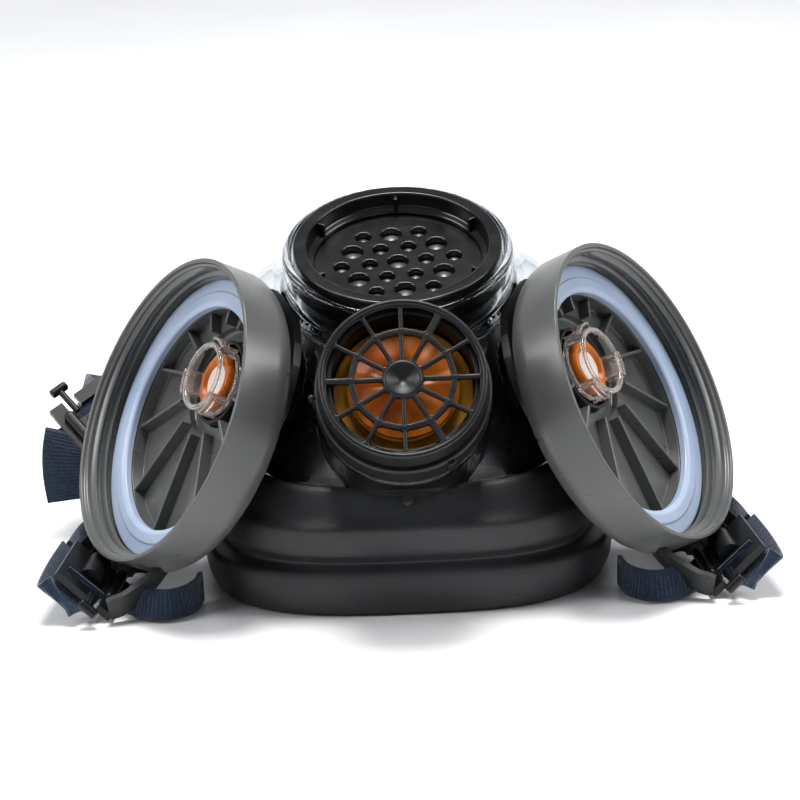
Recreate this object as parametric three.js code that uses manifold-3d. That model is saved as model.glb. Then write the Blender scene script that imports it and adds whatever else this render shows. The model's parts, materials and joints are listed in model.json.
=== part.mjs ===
// A half-mask respirator with two screw-on filter receivers, lying on its face seal.
// Millimetres, +Z up. The face seal's rim lies on z = 0, the chin side is -Y, the nose side is +Y.

import * as THREE from 'three';
import { mergeVertices } from 'three/addons/utils/BufferGeometryUtils.js';
import { ConvexGeometry } from 'three/addons/geometries/ConvexGeometry.js';
import Module from 'manifold-3d';

const wasm = await Module();
wasm.setup();

// ---------------------------------------------------------------- driving dimensions

const GAP = 0.35; // between pieces that touch
const SHIFT = [4.05, -18.63, 0]; // puts the middle of the whole part's box over the origin

const SEAL_TOP = 37; // where the rubber face seal meets the clear shell
const SHELL_WALL = 2.5;

const CUP_CENTRE = [70.85, -20.3, 56.3]; // middle of the right receiver's rim
const CUP_AXIS = [0.796, -0.41, 0.446]; // out of the right receiver
const CUP_R = 46;
const CUP_WALL = 2.2;
const CUP_DEPTH = 19;
const GASKET_R = [34.4, 43.3];
const FLOOR_DEPTH = 12.6;
const PORT_UP = 13; // the inhalation port sits this far above the receiver's middle
const PORT_R = 11.6;
const RECESS_R = 17; // the floor is deeper round the port
const DRUM_R = 26;
const DUCT_R = 17.5;
const DUCT_BORE = 13.5;
const RIBS = 13;

const DIAPHRAGM_CENTRE = [0, -2.7, 98.8];
const DIAPHRAGM_AXIS = [0, -0.381, 0.9246];
const LOCK_RING_R = 30.6;
const COLLAR_R = 33.9;
const GRILLE_TOP = -6.5; // below the top of the lock ring

const VALVE_CENTRE = [0, -64.5, 74.2];
const VALVE_AXIS = [0, -0.813, 0.5823];
const COVER_R = 23.2;
const BARREL_R = 24.6;
const SPOKES = 12;
const DISC_LOW = -8.2; // underside of the exhalation disc, on its raised seat

const LOWER_PIVOT = [89.7, -8.8, 9.8]; // where a neck strap buckle turns on its yoke
const LOWER_ALONG = [4.5, -39, -1.7]; // from its pivot to its pull tab
const LOWER_ACROSS = [-0.727, -0.054, -0.684];
const UPPER_PIVOT = [80.2, 22, 24.6]; // where a head strap buckle turns on its yoke
const UPPER_ALONG = [0.63, 0.5, 0.6];
const UPPER_ACROSS = [0.77, -0.47, -0.43];
const FOLDED_BACK = { left: 0, right: 60 }; // degrees that each head strap buckle is swung down

const STRAP_T = 1.4;
const STRAP_STEPS = 3; // sections between two stations of a strap's route
const NECK_STRAP_W = 14;
const NECK_TAIL_W = 9;
const HEAD_STRAP_W = 22;
const LOOP_W = 12.8;

// ---------------------------------------------------------------- materials

const finish = (color, roughness, metalness = 0, extra = {}) =>
  new THREE.MeshStandardMaterial({ color, roughness, metalness, ...extra });

const blackRubber = () => finish(0x26282a, 0.6);
const clearPlastic = () => finish(0xdfe6ea, 0.08, 0, { transparent: true, opacity: 0.35 });
const blackPlastic = () => finish(0x1c1d1e, 0.42);
const greyPlastic = () => finish(0x6a6a67, 0.38);
const paleSilicone = () => finish(0xb9c4dd, 0.5);
const orangeSilicone = () => finish(0xd2600f, 0.35);
const amberPlastic = () => finish(0x8a5a10, 0.25);
const silverFilm = () => finish(0x8d9094, 0.25, 0.8);
const navyWebbing = () => finish(0x1f3d66, 0.8);
const steel = () => finish(0x9a9c9e, 0.35, 0.9);

// ---------------------------------------------------------------- solids

const vec = (p) => new THREE.Vector3(...p);

// A closed geometry as a solid whose faces point out.
function solid(geometry) {
  const bare = geometry.index ? geometry.toNonIndexed() : geometry.clone();
  for (const name of Object.keys(bare.attributes)) {
    if (name !== 'position') bare.deleteAttribute(name);
  }
  const merged = mergeVertices(bare, 1e-4);
  const p = merged.attributes.position.array;
  const faces = [];
  let volume = 0;
  const at = (i) => new THREE.Vector3(p[3 * i], p[3 * i + 1], p[3 * i + 2]);
  for (let i = 0; i < merged.index.count; i += 3) {
    const [a, b, c] = [0, 1, 2].map((k) => merged.index.getX(i + k));
    if (a === b || b === c || a === c) continue;
    faces.push([a, b, c]);
    volume += at(a).dot(at(b).cross(at(c)));
  }
  if (volume < 0) faces.forEach((face) => face.reverse());
  const mesh = new wasm.Mesh({
    numProp: 3,
    vertProperties: new Float32Array(p),
    triVerts: new Uint32Array(faces.flat()),
  });
  return new wasm.Manifold(mesh);
}

function geometryOf(body) {
  const mesh = body.getMesh();
  const geometry = new THREE.BufferGeometry();
  geometry.setAttribute('position', new THREE.BufferAttribute(mesh.vertProperties, 3));
  geometry.setIndex(new THREE.BufferAttribute(mesh.triVerts, 1));
  geometry.computeVertexNormals();
  return geometry;
}

const join = (bodies) => bodies.reduce((sum, body) => sum.add(body));
const cut = (body, tools) => tools.reduce((rest, tool) => rest.subtract(tool), body);

// A solid of revolution about Z. The profile is a closed list of [radius, height].
function turned(profile, segments = 32) {
  const points = [...profile, profile[0]].map(([r, z]) => new THREE.Vector2(r, z));
  return solid(new THREE.LatheGeometry(points, segments).rotateX(Math.PI / 2));
}

const ring = (inner, outer, z0, z1, segments = 32) =>
  turned([[inner, z0], [outer, z0], [outer, z1], [inner, z1]], segments);

function rod(radius, z0, z1, segments = 32, x = 0, y = 0) {
  const geometry = new THREE.CylinderGeometry(radius, radius, z1 - z0, segments);
  return solid(geometry.rotateX(Math.PI / 2).translate(x, y, (z0 + z1) / 2));
}

function box(x, y, z) {
  const geometry = new THREE.BoxGeometry(x[1] - x[0], y[1] - y[0], z[1] - z[0]);
  return solid(geometry.translate((x[0] + x[1]) / 2, (y[0] + y[1]) / 2, (z[0] + z[1]) / 2));
}

const lump = (points) => solid(new ConvexGeometry(points.map(vec)));

// A flat plate between two heights, from an outline and its holes.
function plate(outline, holes, z0, z1) {
  const shape = new THREE.Shape(outline.map(([x, y]) => new THREE.Vector2(x, y)));
  shape.holes = holes.map((hole) => new THREE.Path(hole.map(([x, y]) => new THREE.Vector2(x, y))));
  const geometry = new THREE.ExtrudeGeometry(shape, { depth: z1 - z0, bevelEnabled: false });
  return solid(geometry.translate(0, 0, z0));
}

const arc = (radius, from, to, steps, cx = 0, cy = 0) =>
  Array.from({ length: steps + 1 }, (_, i) => {
    const angle = from + ((to - from) * i) / steps;
    return [cx + radius * Math.cos(angle), cy + radius * Math.sin(angle)];
  });

const circle = (radius, steps, cx = 0, cy = 0) =>
  arc(radius, 0, 2 * Math.PI, steps, cx, cy).slice(0, -1);

// Skins a list of loops with the same number of points. A tube that closes on itself is a ring.
function lofted(loops, closes) {
  const count = loops[0].length;
  const points = loops.flat();
  const faces = [];
  const last = closes ? loops.length : loops.length - 1;
  for (let j = 0; j < last; j += 1) {
    const below = j * count;
    const above = ((j + 1) % loops.length) * count;
    for (let i = 0; i < count; i += 1) {
      const k = (i + 1) % count;
      faces.push([below + i, below + k, above + k], [below + i, above + k, above + i]);
    }
  }
  if (!closes) {
    for (const [start, turn] of [[0, true], [(loops.length - 1) * count, false]]) {
      for (let i = 1; i < count - 1; i += 1) {
        const face = [start, start + i, start + i + 1];
        faces.push(turn ? face.reverse() : face);
      }
    }
  }
  const geometry = new THREE.BufferGeometry();
  const flat = points.flatMap((p) => [p.x, p.y, p.z]);
  geometry.setAttribute('position', new THREE.Float32BufferAttribute(flat, 3));
  geometry.setIndex(faces.flat());
  return solid(geometry);
}

// A flat band through stations of [centre, direction across], as webbing lies.
function band(stations, width, thickness = STRAP_T) {
  const path = new THREE.CatmullRomCurve3(stations.map(([centre]) => vec(centre)));
  const turns = new THREE.CatmullRomCurve3(stations.map(([, across]) => vec(across).normalize()));
  const steps = (stations.length - 1) * STRAP_STEPS;
  const centres = Array.from({ length: steps + 1 }, (_, i) => path.getPoint(i / steps));
  const loops = centres.map((centre, i) => {
    const before = centres[Math.max(i - 1, 0)];
    const after = centres[Math.min(i + 1, steps)];
    const along = after.clone().sub(before).normalize();
    const across = turns.getPoint(i / steps);
    across.addScaledVector(along, -across.dot(along)).normalize().multiplyScalar(width / 2);
    const through = along.cross(across).normalize().multiplyScalar(thickness / 2);
    return [[-1, -1], [1, -1], [1, 1], [-1, 1]].map(([u, v]) =>
      centre.clone().addScaledVector(across, u).addScaledVector(through, v));
  });
  return lofted(loops, false);
}

// ---------------------------------------------------------------- scene graph

const respirator = new THREE.Group();
respirator.position.set(...SHIFT);

function piece(parent, name, body, material) {
  const mesh = new THREE.Mesh(geometryOf(body), material);
  mesh.name = name;
  parent.add(mesh);
  return mesh;
}

// A group whose Z runs along an axis and whose Y is as near as can be to a given direction.
function frameAt(origin, axis, up) {
  const z = vec(axis).normalize();
  const y = vec(up);
  y.addScaledVector(z, -y.dot(z)).normalize();
  const x = y.clone().cross(z);
  const group = new THREE.Group();
  group.applyMatrix4(new THREE.Matrix4().makeBasis(x, y, z).setPosition(vec(origin)));
  group.updateMatrix();
  respirator.add(group);
  return group;
}

// Moves a solid out of a frame into the part's own frame.
const placed = (body, frame) => body.transform(frame.matrix.toArray());

const mirror = ([x, y, z], side) => [side * x, y, z];

const SIDES = [['left', -1], ['right', 1]];

// ---------------------------------------------------------------- face seal and shell

// A rounded outline in a plane that leans back by a tilt. Its sides draw in towards the front.
function outline({ y, z, half, depth, tilt = 0, power = 2, draw = 0 }, shrink, count) {
  const blunt = (v) => Math.sign(v) * Math.abs(v) ** (2 / power);
  return Array.from({ length: count }, (_, i) => {
    const angle = (2 * Math.PI * i) / count;
    const fore = blunt(Math.sin(angle));
    const side = blunt(Math.cos(angle)) * (1 - (draw * (1 - fore)) / 2);
    const reach = fore * (depth - shrink);
    return new THREE.Vector3(
      side * (half - shrink), y + reach * Math.cos(tilt), z + reach * Math.sin(tilt));
  });
}

const SEAL_OUTSIDE = [
  { z: 0, half: 56.5, front: -47 },
  { z: 6, half: 60.5, front: -50 },
  { z: 14.3, half: 60, front: -49.6 },
  { z: 16, half: 55.5, front: -48 },
  { z: 19.5, half: 55, front: -52 },
  { z: 27, half: 53.5, front: -52.6 },
  { z: SEAL_TOP, half: 47.5, front: -46 },
];
const SEAL_INSIDE = [
  { z: SEAL_TOP, half: 43.5, front: -42 },
  { z: 26, half: 49, front: -47.5 },
  { z: 17, half: 51, front: -44 },
  { z: 6, half: 56, front: -46 },
  { z: 1.6, half: 49.5, front: -40 },
  { z: 0, half: 48.5, front: -39 },
];
const SEAL_BACK = 61; // the nose end of the seal

function sealLoop({ z, half, front }) {
  const inset = 58 - half;
  const back = SEAL_BACK - inset;
  return outline({ y: (front + back) / 2, z, half, depth: (back - front) / 2, power: 3.1 }, 0, 36);
}

piece(respirator, 'face_seal',
  lofted([...SEAL_OUTSIDE, ...SEAL_INSIDE].map(sealLoop), true), blackRubber());

const SHELL_RINGS = [
  { y: 6, z: SEAL_TOP + GAP, half: 47.5, depth: 52, power: 2.9 },
  { y: 6, z: 50, half: 50, depth: 51, tilt: 0.07, power: 2.8, draw: 0.1 },
  { y: 7, z: 64, half: 54, depth: 48, tilt: 0.17, power: 2.7, draw: 0.25 },
  { y: 7, z: 77, half: 55, depth: 44, tilt: 0.28, power: 2.7, draw: 0.4 },
  { y: 5, z: 83, half: 44, depth: 39, tilt: 0.35, power: 2.3, draw: 0.3 },
  { y: 3.4, z: 84, half: COLLAR_R, depth: COLLAR_R, tilt: 0.391 },
];

const diaphragmFrame = frameAt(DIAPHRAGM_CENTRE, DIAPHRAGM_AXIS, [0, 1, 0]);
const valveFrame = frameAt(VALVE_CENTRE, VALVE_AXIS, [0, 0, 1]);
const cupFrames = Object.fromEntries(SIDES.map(([name, side]) =>
  [name, frameAt(mirror(CUP_CENTRE, side), mirror(CUP_AXIS, side), [0, 0, 1])]));

const DENT_CUP = CUP_DEPTH + 1.6;
const DENT_YOKE = 24;
const DENT_YOKE_R = 39;
const BOSS_R = 20.6;

function shell() {
  const outerRings = SHELL_RINGS.map((r) => outline(r, 0, 32));
  const innerRings = SHELL_RINGS.map((r, i) =>
    outline({ ...r, z: r.z - (i > 3 ? SHELL_WALL : 0) }, SHELL_WALL, 32));
  innerRings.unshift(outline({ ...SHELL_RINGS[0], z: SEAL_TOP - 4 }, SHELL_WALL, 32));
  let outer = lofted(outerRings, false);
  let inner = lofted(innerRings, false);
  for (const frame of Object.values(cupFrames)) {
    const dents = (extra) => [
      placed(rod(CUP_R + 1.4 + extra, -DENT_CUP - extra, 6, 32), frame),
      placed(rod(DENT_YOKE_R + extra, -DENT_YOKE - extra, 0, 28, 0, PORT_UP), frame),
    ];
    outer = cut(outer, dents(0));
    inner = cut(inner, dents(SHELL_WALL));
  }
  const collar = turned([[0, -17.6], [32, -17.6], [35.2, -15], [35.2, -12.6], [COLLAR_R, -11.6],
    [COLLAR_R, -1.6], [0, -1.6]], 32);
  const bosses = [placed(collar, diaphragmFrame), placed(rod(24.4, -50, -18 - GAP, 28), valveFrame)];
  const bores = [
    placed(rod(31.2, -15.4, 5, 32), diaphragmFrame),
    placed(rod(23.5, -30, 5, 28), diaphragmFrame),
    placed(rod(21.4, -60, 0, 28), valveFrame),
  ];
  for (const frame of Object.values(cupFrames)) {
    bosses.push(placed(rod(BOSS_R, -46, -DENT_YOKE, 24, 0, PORT_UP), frame));
    bores.push(placed(rod(DUCT_R + GAP, -60, -DENT_YOKE + 2, 24, 0, PORT_UP), frame));
  }
  const below = box([-90, 90], [-90, 90], [0, SEAL_TOP + GAP]);
  return cut(join([outer, ...bosses]), [inner, ...bores, below]);
}

piece(respirator, 'front_shell', shell(), clearPlastic());

// ---------------------------------------------------------------- speech diaphragm

function lockRing() {
  const body = turned([[26.8, 0], [LOCK_RING_R, 0], [LOCK_RING_R, -9], [27, -9], [27, GRILLE_TOP + GAP],
    [24.6, GRILLE_TOP + GAP], [24.6, -4.6], [26.8, -4]], 30);
  const lugs = [90, 150, 210, 270, 330, 30].map((degrees) => {
    const lug = box([24.4, 27.4], [-1, 1], [-3.6, -0.6]);
    return lug.rotate([0, 0, degrees]);
  });
  return join([body, ...lugs]);
}

function grilleHoles() {
  const pitch = 8.35;
  const turn = 0.12;
  const holes = [circle(3.1, 8)];
  const rows = [[1, 0, 2.3, 6], [Math.sqrt(3), Math.PI / 6, 3.1, 8], [2, 0, 2.3, 6]];
  for (const [reach, offset, radius, sides] of rows) {
    for (let i = 0; i < 6; i += 1) {
      const angle = turn + offset + (i * Math.PI) / 3;
      const [x, y] = [reach * pitch * Math.cos(angle), reach * pitch * Math.sin(angle)];
      holes.push(circle(radius, sides, x, y));
    }
  }
  return holes;
}

piece(diaphragmFrame, 'diaphragm_lock_ring', lockRing(), blackPlastic());
piece(diaphragmFrame, 'diaphragm_grille',
  plate(circle(26.4, 28), grilleHoles(), GRILLE_TOP - 2.2, GRILLE_TOP), blackPlastic());
piece(diaphragmFrame, 'speech_diaphragm', rod(26, GRILLE_TOP - 3, GRILLE_TOP - 2.6, 28), silverFilm());
piece(diaphragmFrame, 'diaphragm_gasket', ring(24, 28, -15, GRILLE_TOP - 3 - GAP, 28), blackRubber());

// ---------------------------------------------------------------- exhalation valve

// A plate of spokes: the holes left between the hub, the middle ring and the rim.
function webHoles(radii, spoke) {
  const holes = [];
  for (const [inner, outer] of radii) {
    for (let i = 0; i < SPOKES; i += 1) {
      const from = (i * 2 * Math.PI) / SPOKES;
      const to = from + (2 * Math.PI) / SPOKES;
      const a = spoke / 2 / inner;
      const b = spoke / 2 / outer;
      holes.push([...arc(inner, from + a, to - a, 1), ...arc(outer, to - b, from + b, 2)]);
    }
  }
  return holes;
}

function exhalationCover() {
  const web = plate(circle(COVER_R, 30), webHoles([[5.6, 13.4], [14.8, 21.4]], 1.3), -2.2, 0);
  return web.add(ring(21.6, COVER_R, -8, -1, 30));
}

function exhalationHousing() {
  const body = turned([[20, -24], [21.1, -24], [21.1, -18], [BARREL_R, -18], [BARREL_R, -8.4],
    [21.2, -8.4], [21.2, -3], [19.8, -3], [19.8, -14], [17, -14], [17, -16], [20, -16]], 30);
  const lugs = [60, 180, 300].map((degrees) =>
    box([24, 26], [-1.6, 1.6], [-15, -9.4]).rotate([0, 0, degrees]));
  return join([body, ...lugs]);
}

function valveSeat() {
  const holes = [0, 1, 2, 3].map((i) => {
    const from = (i * Math.PI) / 2 + 0.09;
    const to = ((i + 1) * Math.PI) / 2 - 0.09;
    return [...arc(4, from + 0.25, to - 0.25, 2), ...arc(13, to, from, 4)];
  });
  const seat = ring(13.4, 15.6, -12.2, DISC_LOW - GAP, 28);
  return plate(circle(19.4, 28), holes, -13.6, -12).add(seat);
}

piece(valveFrame, 'exhalation_cover', exhalationCover(), blackPlastic());
piece(valveFrame, 'exhalation_housing', exhalationHousing(), blackPlastic());
piece(valveFrame, 'exhalation_valve_seat', valveSeat(), amberPlastic());
piece(valveFrame, 'exhalation_valve_disc', turned([[0, DISC_LOW], [14.8, DISC_LOW],
  [14.8, DISC_LOW + 0.6], [4, DISC_LOW + 2.2], [2.4, DISC_LOW + 3], [0, DISC_LOW + 3]], 28),
orangeSilicone());

// ---------------------------------------------------------------- filter receivers

function receiverCup() {
  const inside = CUP_R - CUP_WALL;
  const body = turned([[0, -CUP_DEPTH], [38, -CUP_DEPTH], [43.6, -CUP_DEPTH + 2], [CUP_R, -CUP_DEPTH + 6],
    [CUP_R, 0], [inside, 0], [inside, -11.6], [GASKET_R[0] - 0.4, -11.6],
    [GASKET_R[0] - 0.4, -FLOOR_DEPTH - 3], [0, -FLOOR_DEPTH - 3]], 32);
  const ribs = Array.from({ length: RIBS }, (_, i) => {
    const angle = Math.PI / 2 + (2 * Math.PI * (i + 0.5)) / RIBS;
    const rib = box([15, 60], [-0.65, 0.65], [-FLOOR_DEPTH - 3.5, -FLOOR_DEPTH + 0.8]);
    return rib.rotate([0, 0, (angle * 180) / Math.PI]).translate([0, PORT_UP, 0]);
  });
  const ribSet = join(ribs).intersect(rod(GASKET_R[0], -CUP_DEPTH, 0, 32));
  const recess = rod(RECESS_R, -FLOOR_DEPTH - 5.4, 5, 28, 0, PORT_UP);
  const port = rod(PORT_R + 1.6, -CUP_DEPTH - 1, 5, 24, 0, PORT_UP);
  return cut(body.add(ribSet), [recess, port]);
}

function inletDrum() {
  const drum = turned([[DUCT_BORE, -20.4], [DRUM_R, -20.4], [DRUM_R, -23.6], [DUCT_R, -23.6],
    [DUCT_R, -33], [DUCT_BORE, -33]], 24);
  const neck = turned([[PORT_R, -22], [DUCT_BORE + 1, -22], [DUCT_BORE + 1, -19 - GAP],
    [PORT_R + 1.2, -19 - GAP], [PORT_R + 1.2, -15.2], [PORT_R, -15.2]], 24);
  return drum.add(neck).translate([0, PORT_UP, 0]);
}

function inhalationCage() {
  const windows = [];
  for (let i = 0; i < 6; i += 1) {
    windows.push(box([6, 16], [-2.4, 2.4], [-13.4, -10.3]).rotate([0, 0, i * 60 + 30]));
  }
  const shellPart = turned([[8.8, -16], [10.9, -16], [10.9, -8.8], [6.6, -8.8], [6.6, -9.8],
    [8.8, -9.8]], 18);
  return cut(shellPart, windows).translate([0, PORT_UP, 0]);
}

for (const [name, side] of SIDES) {
  const frame = cupFrames[name];
  piece(frame, `${name}_receiver`, receiverCup(), greyPlastic());
  piece(frame, `${name}_filter_gasket`, turned([[GASKET_R[0], -11.6 + GAP],
    [GASKET_R[1], -11.6 + GAP], [GASKET_R[1], -9.4], [42, -8.4], [36, -8.4], [GASKET_R[0], -9.4]],
  32), paleSilicone());
  piece(frame, `${name}_inlet_duct`, inletDrum(), blackPlastic());
  piece(frame, `${name}_inhalation_cage`, inhalationCage(), clearPlastic());
  piece(frame, `${name}_inhalation_disc`, turned([[0, -15.8], [8.2, -15.8], [8.2, -15.1],
    [2, -14.2], [0, -14.2]], 20).translate([0, PORT_UP, 0]), orangeSilicone());
}

// ---------------------------------------------------------------- buckles

const BUCKLE_LENGTH = 37;
const SLOT = { x: [-8.2, 5.2], y: [27.4, 31.6] };

// One buckle, lying in its own XY plane with its pivot on X and its pull tab at +Y.
function buckle(side) {
  const across = (from, to) => (side > 0 ? [from, to] : [-to, -from]);
  const base = box(across(-10, 10.4), [11, BUCKLE_LENGTH - 1.4], [-1.2, 1]);
  const neck = box(across(-4.5, 4.5), [2.2, 12], [-1.6, 1.6]);
  const eye = rod(3, -4.5, 4.5, 16).rotate([0, 90, 0]);
  const barrel = rod(3.6, 12, 26, 20).rotate([-90, 0, 0]).translate([side * -0.6, 0, 0.4]);
  const rib = box(across(5.2, 8.4), [11, 31], [-0.8, 3.6]);
  const keep = box([-20, 20], [-5, 50], [-1.2, 20]);
  const pinHole = rod(1.5 + GAP, -8, 8, 14).rotate([0, 90, 0]);
  const slot = box(across(...SLOT.x), SLOT.y, [-5, 8]);
  const body = join([base, barrel.intersect(keep), rib, neck, eye]);
  const post = box(across(2, 4.4), [33, 40], [-1, 1]);
  const head = rod(1.5, -3, 3, 12).rotate([0, 90, 0]).translate([side * 3.2, 40.2, 0]);
  return join([cut(body, [slot, pinHole]), post, head]);
}

// Webbing through the slot of a buckle, as stations of [across, along, above] in its frame.
const LOWER_LOOP = [[-1.5, 28.7, 1.4], [-1.5, 29.6, -1.2], [-2.4, 31.5, -3.2], [-3.8, 34.6, -3.6],
  [-4.8, 36.8, -4.4], [-5.2, 36.2, -5.7], [-5.8, 32, -6], [-6.4, 20, -5.6], [-6.4, 6.5, -4.8]];
const UPPER_LOOP = [[-1.5, 28.7, 1.4], [-1.5, 29.6, -1.2], [-1.2, 31.6, -3.4], [-1, 33.5, -5.4]];

const strapLoop = (side, stations, width) =>
  band(stations.map(([x, y, z]) => [[side * x, y, z], [1, 0, 0]]), width);

// The harness yoke: a ring behind the receiver, and an arm with a clevis for each buckle.
function harnessYoke(cupFrame, side, buckleFrames) {
  const heights = [-23.3, -20.8];
  const arm = (points) => placed(
    lump(heights.flatMap((h) => points.map(([x, y]) => [side * x, y, h]))), cupFrame);
  const eye = placed(ring(DRUM_R + GAP, 31, ...heights, 28).translate([0, PORT_UP, 0]), cupFrame);
  const bodies = [eye];
  const tools = [
    placed(rod(DRUM_R + GAP, -30, -10, 28, 0, PORT_UP), cupFrame),
    placed(rod(CUP_R + GAP, -CUP_DEPTH - 0.8, 10, 36), cupFrame),
    placed(rod(COLLAR_R + 1.8, -19, 0, 32), diaphragmFrame),
  ];
  const ends = {
    lower: { root: [[2, -14], [17, -12]], tip: [[25, -45], [13, -49]] },
    upper: { root: [[22, -4], [27, 14]], tip: [[47, -14], [45, -24]] },
  };
  for (const [level, { root, tip }] of Object.entries(ends)) {
    const frame = buckleFrames[level];
    const corners = [];
    for (const x of [-8, 8]) {
      for (const [y, z] of [[-8, -3], [-8, 3], [3.2, -3], [3.2, 3]]) {
        corners.push(new THREE.Vector3(x, y, z).applyMatrix4(frame.matrix).toArray());
      }
    }
    for (const [x, y] of tip) {
      for (const h of heights) {
        corners.push(new THREE.Vector3(side * x, y, h).applyMatrix4(cupFrame.matrix).toArray());
      }
    }
    bodies.push(arm([...root, ...tip]), lump(corners));
    tools.push(placed(box([-4.5 - GAP, 4.5 + GAP], [-3.6, 30], [-9, 9]), frame));
    tools.push(placed(rod(1.5 + GAP, -20, 20, 14).rotate([0, 90, 0]), frame));
  }
  return cut(join(bodies), tools);
}

const BUCKLES = [
  ['lower', LOWER_PIVOT, LOWER_ALONG, LOWER_ACROSS, LOWER_LOOP],
  ['upper', UPPER_PIVOT, UPPER_ALONG, UPPER_ACROSS, UPPER_LOOP],
];

for (const [name, side] of SIDES) {
  const clevises = {};
  for (const [level, pivot, along, across, loop] of BUCKLES) {
    const face = vec(across).cross(vec(along));
    clevises[level] = frameAt(mirror(pivot, side), mirror(face.toArray(), side),
      mirror(along, side));
    piece(clevises[level], `${name}_${level}_pivot_pin`,
      rod(1.5, -7.8, 7.8, 14).rotate([0, 90, 0]), steel());
    const swung = new THREE.Group();
    swung.rotation.x = level === 'upper' ? THREE.MathUtils.degToRad(-FOLDED_BACK[name]) : 0;
    clevises[level].add(swung);
    piece(swung, `${name}_${level}_buckle`, buckle(side), blackPlastic());
    piece(swung, `${name}_${level}_strap_loop`, strapLoop(side, loop, LOOP_W), navyWebbing());
  }
  piece(respirator, `${name}_harness_yoke`, harnessYoke(cupFrames[name], side, clevises),
    blackPlastic());
}

// ---------------------------------------------------------------- straps

const UP = [0, 0, 1];
const DOWN = [0, 0, -1];

const NECK_ROUTE = [
  [[96.2, -14, 9.8], LOWER_ACROSS],
  [[94, 4.5, 9.6], LOWER_ACROSS],
  [[88, 18, 9.6], DOWN],
  [[80, 38, 10], DOWN],
  [[70, 60, 10], DOWN],
  [[54, 79, 10], DOWN],
  [[34, 90, 10], DOWN],
  [[13, 94, 10], DOWN],
];

const NECK_TAIL_ROUTE = [
  [[81, -40, 5.4], [0.1, 0.4, 0.92]],
  [[76, -44, 5.1], [0.1, 0.35, 0.94]],
  [[70, -46, 4.9], [0, 0.35, 0.94]],
  [[63.5, -45.8, 4.8], [0, 0.3, 0.95]],
  [[57, -43.6, 4.8], [0, 0.25, 0.97]],
];

const HEAD_ROUTES = {
  left: [
    [[100.6, 44.4, 38.2], UPPER_ACROSS],
    [[104, 53, 37.5], [0.5, -0.35, -0.78]],
    [[103, 66, 34.5], [0.15, -0.1, -1]],
    [[93, 84, 27], DOWN],
    [[74, 99, 20], DOWN],
    [[46, 108, 18], DOWN],
    [[20, 112, 18], DOWN],
  ],
  right: [
    [[88.6, 54.6, 7.4], UPPER_ACROSS],
    [[89.4, 62, 8.6], [0.7, -0.4, -0.6]],
    [[87, 80, 13.5], [0.1, 0, -1]],
    [[74, 99, 18], DOWN],
    [[46, 108, 18], DOWN],
    [[20, 112, 18], DOWN],
  ],
};

const HEAD_TAIL_ROUTES = {
  left: [
    [[103.2, 38.4, 33], [0.87, 0, 0.48]],
    [[104.6, 40, 27], [0.87, 0, 0.48]],
    [[105, 40.5, 19.5], [0.87, 0, 0.48]],
    [[104.2, 40.5, 11.5], [0.8, 0, 0.6]],
  ],
  right: [
    [[93.2, 54.8, 18.6], UPPER_ACROSS],
    [[96, 63, 21], [0.7, -0.4, -0.6]],
    [[96.6, 71, 22.5], [0.45, -0.25, -0.86]],
    [[95, 79, 22.5], [0.3, -0.2, -0.93]],
  ],
};

for (const [name, side] of SIDES) {
  const route = (stations) => stations.map(([centre, across]) =>
    [mirror(centre, side), mirror(across, side)]);
  piece(respirator, `${name}_neck_strap`, band(route(NECK_ROUTE), NECK_STRAP_W), navyWebbing());
  piece(respirator, `${name}_neck_strap_tail`, band(route(NECK_TAIL_ROUTE), NECK_TAIL_W),
    navyWebbing());
  piece(respirator, `${name}_head_strap`, band(route(HEAD_ROUTES[name]), HEAD_STRAP_W),
    navyWebbing());
  piece(respirator, `${name}_head_strap_tail`, band(route(HEAD_TAIL_ROUTES[name]),
    HEAD_STRAP_W - 2), navyWebbing());
}

const socket = box([-12, 3], [91, 97], [2, 18]).subtract(box([-9, 4], [92.6, 95.4], [5, 15]));
piece(respirator, 'neck_clasp_socket', socket, blackPlastic());
piece(respirator, 'neck_clasp_tongue',
  box([-6, 12], [93, 95], [5.5, 14.5]).add(box([3.6, 12], [91, 97], [2, 18])), blackPlastic());
piece(respirator, 'head_cradle', band([
  [[-19, 112.2, 18], UP], [[-9, 113.6, 18], UP], [[0, 114, 18], UP],
  [[9, 113.6, 18], UP], [[19, 112.2, 18], UP]], 34, 2.4), blackPlastic());

export default respirator;
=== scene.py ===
"""Looks for a half-mask respirator: detailed pieces, materials, floor, light and camera around the CAD frame.

Shapes are built in millimetres, each in the frame of its own joint or mount, and placed in metres.
"""

import json
import math

import bmesh
import bpy
import numpy as np
from mathutils import Matrix, Vector


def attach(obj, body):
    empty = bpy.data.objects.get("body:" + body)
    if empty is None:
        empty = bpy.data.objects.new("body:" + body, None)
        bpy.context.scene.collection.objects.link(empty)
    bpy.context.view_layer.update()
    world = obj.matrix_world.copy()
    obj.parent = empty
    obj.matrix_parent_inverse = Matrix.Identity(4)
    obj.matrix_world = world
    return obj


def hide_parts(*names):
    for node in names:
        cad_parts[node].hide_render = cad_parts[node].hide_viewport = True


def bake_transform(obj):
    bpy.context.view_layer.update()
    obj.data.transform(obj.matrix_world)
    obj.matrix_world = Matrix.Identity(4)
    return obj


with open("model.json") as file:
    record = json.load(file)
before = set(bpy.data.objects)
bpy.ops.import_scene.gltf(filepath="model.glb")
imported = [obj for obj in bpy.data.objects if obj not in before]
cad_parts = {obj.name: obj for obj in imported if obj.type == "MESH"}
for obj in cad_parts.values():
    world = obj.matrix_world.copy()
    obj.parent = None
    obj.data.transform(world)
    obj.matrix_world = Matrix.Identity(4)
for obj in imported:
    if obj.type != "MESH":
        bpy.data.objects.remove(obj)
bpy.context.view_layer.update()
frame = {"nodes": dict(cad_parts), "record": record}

# ---------------------------------------------------------------- sizes in millimetres

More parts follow.
